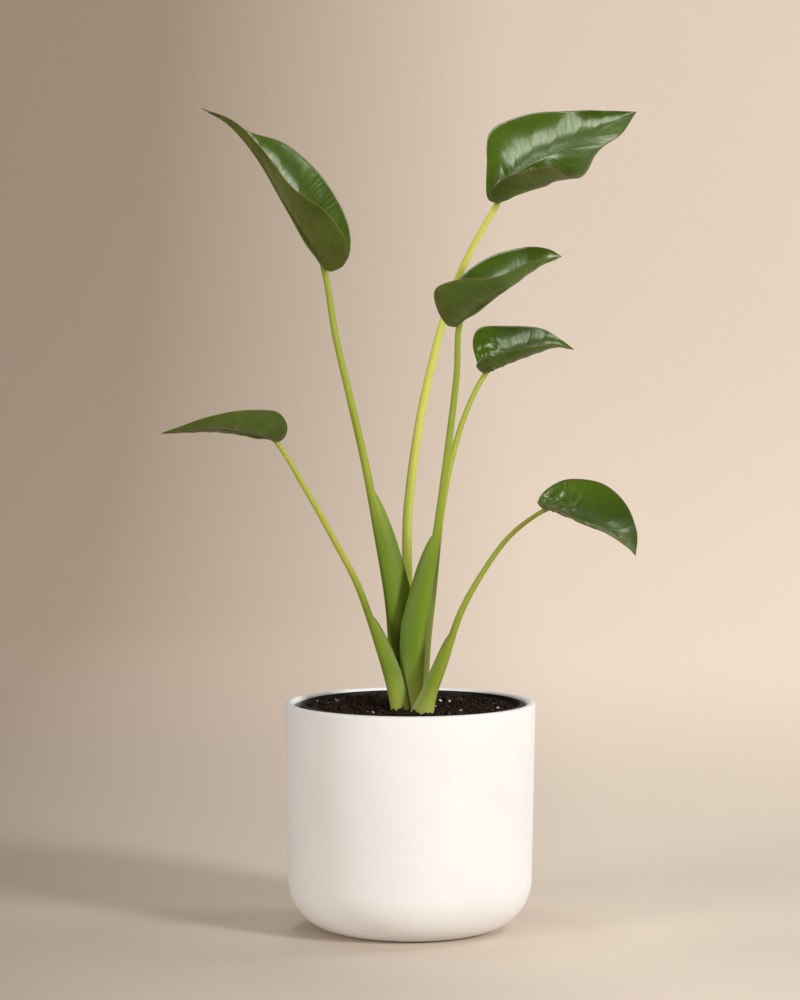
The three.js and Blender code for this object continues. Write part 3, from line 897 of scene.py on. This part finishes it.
def section(a, d, r, wrapped):
    """A round core at the bottom of a wrap of half width a and depth d, in millimetres."""
    reach = math.radians(mix(135, 112, wrapped))
    turn = np.linspace(-reach, reach, SECTION_STEPS + 1)
    edge = np.abs(turn / reach)
    wing = min(1.2, 0.9 * a) * (1 - 0.55 * edge**3)
    core = 1.7 * r
    outer_x = a * np.sin(turn)
    outer_y = d - r - d * np.cos(turn)
    round_x = 0.82 * outer_x[-1] * (turn / reach)
    round_y = outer_y[-1] - 0.22 * r * np.cos(turn / reach * math.pi / 2)
    wrap_x = outer_x * (1 - wing / a)
    wrap_y = outer_y + wing * np.cos(np.clip(np.abs(turn), 0, math.pi / 2))
    wrap_y += (core - wing) * np.cos(np.clip(turn * 1.3, -math.pi / 2, math.pi / 2)) ** 2
    inner_x = mix(round_x, wrap_x, wrapped)[::-1]
    inner_y = mix(round_y, wrap_y, wrapped)[::-1]
    return np.concatenate([outer_x, inner_x]), np.concatenate([outer_y, inner_y])


# %% Make the stalks
RINGS = 170
stalks = {}
for name, leaf in LEAVES.items():
    rings, path = stalk_rings(leaf, RINGS)
    around = rings.shape[1]

    def surface(u, v):
        i = np.rint(u * RINGS).astype(int)
        j = np.rint(v * around).astype(int) % around
        return rings[i, j]

    piece = closed(laid(f"petiole_{name}", RINGS, around, surface))
    stalks[name] = piece
    print(name, len(piece.data.polygons), "faces, stalk", round(path.length / MM), "mm")

# %% [markdown]
# ## Potting mix
# The mix is dark, coarse and lumpy. Its surface is a polar sheet with three sizes of lumps,
# closed by a tapered side and a floor inside the grower's pot. Loose crumbs, bark, fibres
# and white perlite are then scattered over it.


# %% Soil body
SOIL_RISE = 1.6
DISH_RADIUS = 26 * MM


def soil_height(x, y):
    """The soil's surface: gentle lumps, a low dish round the stalks and fine grit."""
    mound = math.exp(-(x * x + y * y) / (2 * DISH_RADIUS**2))
    spot = Vector((x, y, 0)) / MM
    lumps = noise.noise(spot * 0.06) * 1.3 + noise.noise(spot * 0.17) * 0.9
    grit = noise.turbulence(spot * 0.45, 3, False) * 0.75 - 0.6
    rise = SOIL_RISE * (1 - 1.1 * mound) - x / MM * 0.012
    return SOIL_TOP + (rise + lumps + grit) * MM


SOIL_FLOOR = inner_low.z + NURSERY_WALL + GAP
SOIL_FOOT_RADIUS = NURSERY_BASE_RADIUS - NURSERY_WALL - GAP
SOIL_RINGS = 100
SOIL_SPOKES = 400
TOP_SHARE = 0.86
SIDE_SHARE = 0.1


def soil_surface(u, v):
    """The top as far as its share, then the side, then the floor in one last step."""
    places = []
    for a, b in zip(u, v):
        turn = 2 * math.pi * b
        if a <= TOP_SHARE:
            r = SOIL_RADIUS * a / TOP_SHARE
            x, y = r * math.cos(turn), r * math.sin(turn)
            places.append((NURSERY_MIDDLE + x, y, soil_height(x, y)))
        else:
            down = min((a - TOP_SHARE) / SIDE_SHARE, 1)
            r = mix(SOIL_RADIUS, SOIL_FOOT_RADIUS, down)
            if a > 0.99:
                r = 0
            x, y = r * math.cos(turn), r * math.sin(turn)
            edge = soil_height(SOIL_RADIUS * math.cos(turn), SOIL_RADIUS * math.sin(turn))
            places.append((NURSERY_MIDDLE + x, y, mix(edge, SOIL_FLOOR, down)))
    return np.array(places)


soil_body = closed(laid("soil_body", SOIL_RINGS, SOIL_SPOKES, soil_surface), slack=1e-7)
print("soil:", len(soil_body.data.polygons), "faces")


# %% [markdown]
# Crumbs are small and there are thousands of them, so one of each kind is modelled with a few
# dozen faces, and turned, scaled and set down many times. Each kind has a fixed seed of its
# own, which gives the same soil each time. None is set down on the feet of the stalks.


# %% Scatter
STALK_CLEARANCE = 9 * MM
STALK_EMERGES = 0.08


def worn(name, rough, seed, turns=7, rings=5):
    """One crumb: a small ball whose points are pushed in and out."""
    bpy.ops.object.select_all(action="DESELECT")
    bpy.ops.mesh.primitive_uv_sphere_add(segments=turns, ring_count=rings, radius=0.5)
    piece = named(name)
    bpy.ops.object.mode_set(mode="EDIT")
    bpy.ops.mesh.select_all(action="SELECT")
    bpy.ops.mesh.quads_convert_to_tris()
    bpy.ops.object.mode_set(mode="OBJECT")
    for vertex in piece.data.vertices:
        push = 1 + rough * noise.noise(vertex.co * 3.1 + Vector((seed, 0, seed)))
        vertex.co *= push
    return piece


def scattered(name, pattern, count, sizes, shape, sink, seed, tilt=math.pi, reach=0.97):
    """Sets down many copies of a pattern on the soil, clear of the stalks, as one piece."""
    chance = random.Random(seed)
    points = np.array([v.co[:] for v in pattern.data.vertices])
    faces = np.array([list(p.vertices) for p in pattern.data.polygons])
    feet = [Route(grown(leaf["route"])).at(STALK_EMERGES) for leaf in LEAVES.values()]
    all_points, all_faces = [], []
    while len(all_points) < count:
        r = SOIL_RADIUS * reach * math.sqrt(chance.random())
        turn = chance.uniform(0, 2 * math.pi)
        x, y = r * math.cos(turn), r * math.sin(turn)
        if min(math.hypot(x + NURSERY_MIDDLE - f[0], y - f[1]) for f in feet) < STALK_CLEARANCE:
            continue
        size = mix(*sizes, chance.random() ** 2) * MM
        spin = chance.uniform(0, 2 * math.pi)
        lean = (chance.uniform(-tilt, tilt), chance.uniform(-tilt, tilt))
        matrix = np.array(Euler((lean[0], lean[1], spin)).to_matrix())
        stretch = np.array([s * chance.uniform(0.75, 1.25) for s in shape])
        ground = soil_height(x, y) + size * sink
        place = np.array([NURSERY_MIDDLE + x, y, ground])
        all_faces.append(faces + len(all_points) * len(points))
        all_points.append((points * stretch * size) @ matrix.T + place)
    mesh = bpy.data.meshes.new(name)
    mesh.from_pydata(np.vstack(all_points).tolist(), [], np.vstack(all_faces).tolist())
    piece = bpy.data.objects.new(name, mesh)
    bpy.context.collection.objects.link(piece)
    bpy.data.objects.remove(pattern)
    print(name, count, "pieces,", len(mesh.polygons), "faces")
    return piece


crumbs = scattered(
    "crumbs", worn("crumb", 1.2, 3.0), 2600, sizes=(0.8, 4.6), shape=(1, 0.8, 0.7), sink=0.1, seed=11
)
clods = scattered(
    "clods", worn("clod", 1.3, 6.0), 60, sizes=(4, 8), shape=(1, 0.7, 0.6), sink=0.05, seed=17
)
perlite = scattered(
    "perlite", worn("grain", 0.9, 8.0), 150, sizes=(0.8, 2.3), shape=(1, 0.9, 0.8), sink=0.25, seed=5
)
bark = scattered(
    "bark",
    worn("chip", 0.5, 5.0, turns=6, rings=4),
    150,
    sizes=(2.5, 7),
    shape=(1, 0.45, 0.22),
    sink=0.12,
    seed=23,
    tilt=0.5,
    reach=0.92,
)
fibres = scattered(
    "fibres",
    worn("fibre", 0.3, 9.0, turns=5, rings=4),
    320,
    sizes=(3, 8),
    shape=(1, 0.06, 0.06),
    sink=0.1,
    seed=31,
    tilt=0.35,
    reach=0.9,
)

# %% [markdown]
# ## Finishes
# Each finish reads places on the object itself, so it stays put from every side. Stalks and
# blades read their own UV maps, which run along and across them.

# %% Ceramic and plastic
ceramic = Finish("matt_ceramic", IOR=1.45)
places = ceramic.places()
cloud = ceramic.noise(places, 14, 4)
speck = ceramic.noise(places, 900, 2)
ceramic.dress(
    Base_Color=ceramic.ramp(cloud, (0.3, paint(231, 230, 229)), (0.7, paint(237, 236, 235))),
    Roughness=0.5 + cloud * 0.22,
)
ceramic.bump(speck * 0.6 + ceramic.noise(places, 160, 3), 0.06 * MM)

plastic = Finish("black_plastic", Specular_IOR_Level=0.25)
places = plastic.places()
dust = plastic.noise(places, 60, 5)
plastic.dress(
    Base_Color=plastic.ramp(dust, (0.4, paint(19, 18, 17)), (0.8, paint(38, 34, 30))),
    Roughness=0.5 + dust * 0.3,
)
plastic.bump(plastic.noise(places, 1400, 2), 0.05 * MM)

# %% Soil and what lies in it
def earthy(name, dark, light, scale, depth):
    """A crumbly finish between two colours; scale is for its patches of colour."""
    made = Finish(name, Roughness=0.95, Specular_IOR_Level=0.15)
    places = made.places()
    patches = made.noise(places, scale, 6, 0.65)
    made.dress(Base_Color=made.ramp(patches, (0.35, dark), (0.68, light)))
    made.bump(made.noise(places, 900, 5, 0.7), depth)
    return made.material


soil_finish = earthy("wet_soil", paint(14, 10, 7), paint(38, 28, 20), 260, 0.5 * MM)
crumb_finish = earthy("soil_crumb", paint(15, 11, 8), paint(56, 40, 28), 240, 0.3 * MM)
bark_finish = earthy("bark_chip", paint(32, 23, 17), paint(78, 56, 40), 190, 0.25 * MM)
fibre_finish = earthy("coir_fibre", paint(42, 31, 23), paint(104, 82, 60), 150, 0.1 * MM)
perlite_finish = earthy("perlite_grain", paint(196, 188, 176), paint(240, 237, 230), 500, 0.2 * MM)
corm_finish = earthy("corm_skin", paint(70, 46, 30), paint(130, 94, 62), 120, 0.6 * MM)

# %% Stalk
def stalk_finish(name, top_place, foot, sheath, top, blotches):
    """Pale at the foot, deeper on the sheath, yellower on top, olive under the blade, with painted shade
    in the wrap.
    """
    made = Finish(name, Subsurface_Weight=0.05, IOR=1.4, Specular_IOR_Level=0.35)
    u, v, _ = made.split(made.places("UV"))
    along = u / top_place
    streaks = made.noise(made.stretched(made.places("UV"), 4, 90, 1), 1.0, 3)
    green = made.ramp(along, (0.08, foot), (0.21, sheath), (0.42, sheath), (0.58, top))
    green = made.blend(made.clamp(streaks * 1.6 - 0.5) * 0.35, green, paint(158, 176, 66))
    open_part = made.clamp(5 - along * 10)
    # painted shade on the sheath's inner face and, partly, towards its wings; then their dry edge and the
    # neck under the leaf
    # painted shade: the inner face of the sheath's wrap is painted darker
    inside = made.clamp(v * 60 - 30) * made.clamp(59 - v * 60) * open_part
    green = made.blend(inside * 0.75, green, paint(58, 76, 16))
    # painted shade across the sheath's curve, darker towards both wings, partly the thin wings' own
    # deeper green
    wings = made.clamp(made.maths("ABSOLUTE", v - 0.27) * 9 - 1) * open_part
    green = made.blend(wings * 0.5, green, paint(74, 100, 14))
    edge = made.clamp(1 - made.maths("ABSOLUTE", v - 0.489) * 90) * open_part
    green = made.blend(edge * 0.6, green, paint(186, 194, 96))
    green = made.blend(made.clamp(along * 25 - 24.75), green, paint(92, 108, 44))
    # brown blotches, of which a stalk with a lower number has more
    spots = made.clamp((made.noise(made.places(), 55, 4, 0.6) - blotches) * 14)
    made.dress(
        Base_Color=made.blend(spots * 0.55, green, paint(128, 82, 50)),
        Roughness=0.36 + streaks * 0.2,
    )
    made.bump(streaks + made.noise(made.places(), 500, 2) * 0.3, 0.1 * MM)
    return made.material


# %% Leaf
def vein_lines(made, sharp):
    """1 on the midrib and the side veins, 0 between them, from the blade's UV map."""
    u, v, _ = made.split(made.places("UV"))
    out = made.maths("ABSOLUTE", v * 2 - 1)
    wave = made.maths("ABSOLUTE", made.maths("SINE", (u * VEINS + out * 0.25) * math.pi))
    side_veins = made.clamp(1 - wave * sharp) * made.clamp(1.15 - out)
    midrib = made.clamp(1 - out * 26)
    return side_veins, midrib, out


upper_finish = Finish(
    "leaf_upper",
    IOR=1.45,
    Specular_IOR_Level=0.35,
    Specular_Tint=(0.8, 1.0, 0.45, 1.0),
    Coat_Roughness=0.2,
    Coat_IOR=1.5,
    Coat_Tint=(0.9, 1.0, 0.72, 1.0),
)
side_veins, midrib_line, out = vein_lines(upper_finish, 7)
places = upper_finish.places()
patches = upper_finish.noise(places, 22, 4)
fine = upper_finish.noise(places, 420, 4)
furrows = upper_finish.noise(upper_finish.stretched(upper_finish.places("UV"), 60, 5, 1), 1.0, 3)
green = upper_finish.ramp(patches, (0.3, paint(46, 66, 2)), (0.7, paint(74, 98, 6)))
green = upper_finish.blend(side_veins * 0.15, green, paint(84, 112, 22))
green = upper_finish.blend(midrib_line * 0.35, green, paint(104, 132, 46))
green = upper_finish.blend(upper_finish.clamp(out * 40 - 39) * 0.5, green, paint(86, 66, 34))
upper_finish.dress(
    Base_Color=green,
    Roughness=0.26 + fine * 0.16,
    Coat_Weight=upper_finish.clamp(furrows * 1.8 - 0.3),
)
upper_finish.bump(furrows * 0.8 + patches + fine * 0.25 - side_veins * 0.5, 0.5 * MM)

under_finish = Finish("leaf_underside", IOR=1.4, Specular_IOR_Level=0.3, Subsurface_Weight=0.05)
side_veins, midrib_line, out = vein_lines(under_finish, 6)
places = under_finish.places()
patches = under_finish.noise(places, 30, 4)
green = under_finish.ramp(patches, (0.3, paint(46, 72, 20)), (0.7, paint(76, 104, 42)))
green = under_finish.blend(side_veins * 0.2, green, paint(126, 140, 72))
green = under_finish.blend(under_finish.clamp(out * 30 - 29) * 0.5, green, paint(104, 80, 50))
mottled = under_finish.clamp(under_finish.noise(places, 130, 5, 0.65) * 5 - 2)
near_midrib = under_finish.clamp(1.1 - out * 2)
green = under_finish.blend(mottled * near_midrib * 0.5, green, paint(50, 58, 20))
creases = under_finish.noise(under_finish.stretched(under_finish.places("UV"), 24, 8, 1), 1.0, 3)
under_finish.dress(Base_Color=green, Roughness=0.26 + patches * 0.18)
grain = under_finish.noise(places, 500, 3)
relief = creases * (near_midrib + 0.3) * 4 + grain * 0.5 + side_veins + patches * 2
under_finish.bump(relief, 0.5 * MM)

margin_finish = Finish("leaf_margin", Specular_IOR_Level=0.3)
tint = margin_finish.noise(margin_finish.places(), 60, 3)
margin_finish.dress(
    Base_Color=margin_finish.ramp(tint, (0.35, paint(84, 68, 38)), (0.7, paint(104, 106, 48))),
    Roughness=0.42 + tint * 0.1,
)

# %% [markdown]
# ## Dress the pieces and hide the measured parts
# Each piece gets its finish and rides on the plant's one body, and the measured parts that
# the pieces replace are hidden. The corm lies under the soil and keeps its
# measured solid.

# %% Dress
STALK_COLOURS = {
    "low_right": (paint(182, 188, 100), paint(134, 150, 42), paint(146, 158, 56), 0.68),
    "low_left": (paint(166, 178, 78), paint(112, 134, 28), paint(168, 174, 66), 0.67),
    "middle": (paint(172, 182, 80), paint(104, 132, 24), paint(138, 154, 48), 0.74),
    "top_left": (paint(166, 176, 78), paint(96, 124, 26), paint(148, 162, 52), 0.74),
    "top_right": (paint(190, 196, 98), paint(184, 194, 84), paint(206, 210, 98), 0.76),
    "middle_right": (paint(124, 112, 62), paint(116, 124, 50), paint(164, 174, 66), 0.7),
}


def dressed(piece, slot, *materials):
    """Gives a piece its finishes and its body. The slot is not used."""
    piece.data.materials.clear()
    for material in materials:
        piece.data.materials.append(material)
    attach(piece, "root")


dressed(ceramic_pot, "ceramic", ceramic.material)
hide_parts("outer_pot")
dressed(growers_pot, "nursery_plastic", plastic.material)
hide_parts("nursery_pot")
dressed(soil_body, "soil", soil_finish)
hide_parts("potting_soil")
loose = (
    (crumbs, crumb_finish),
    (clods, crumb_finish),
    (perlite, perlite_finish),
    (bark, bark_finish),
    (fibres, fibre_finish),
)
for piece, finish in loose:
    dressed(piece, "soil", finish)
leaf_finishes = (upper_finish.material, under_finish.material, margin_finish.material)
for name, leaf in LEAVES.items():
    blade, stalk = blades[name], stalks[name]
    kept = [p.material_index for p in blade.data.polygons]
    dressed(blade, "leaf", *leaf_finishes)
    blade.data.polygons.foreach_set("material_index", kept)
    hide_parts(f"leaf_{name}")
    finish = stalk_finish(f"stalk_{name}", leaf["stalk_share"], *STALK_COLOURS[name])
    dressed(stalk, "stalk", finish)
    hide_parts(f"stalk_{name}")
corm_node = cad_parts["corm"]
for slot in corm_node.material_slots:
    slot.material = corm_finish
print("dressed:", len(blades), "blades,", len(stalks), "stalks,", len(loose), "loose kinds")
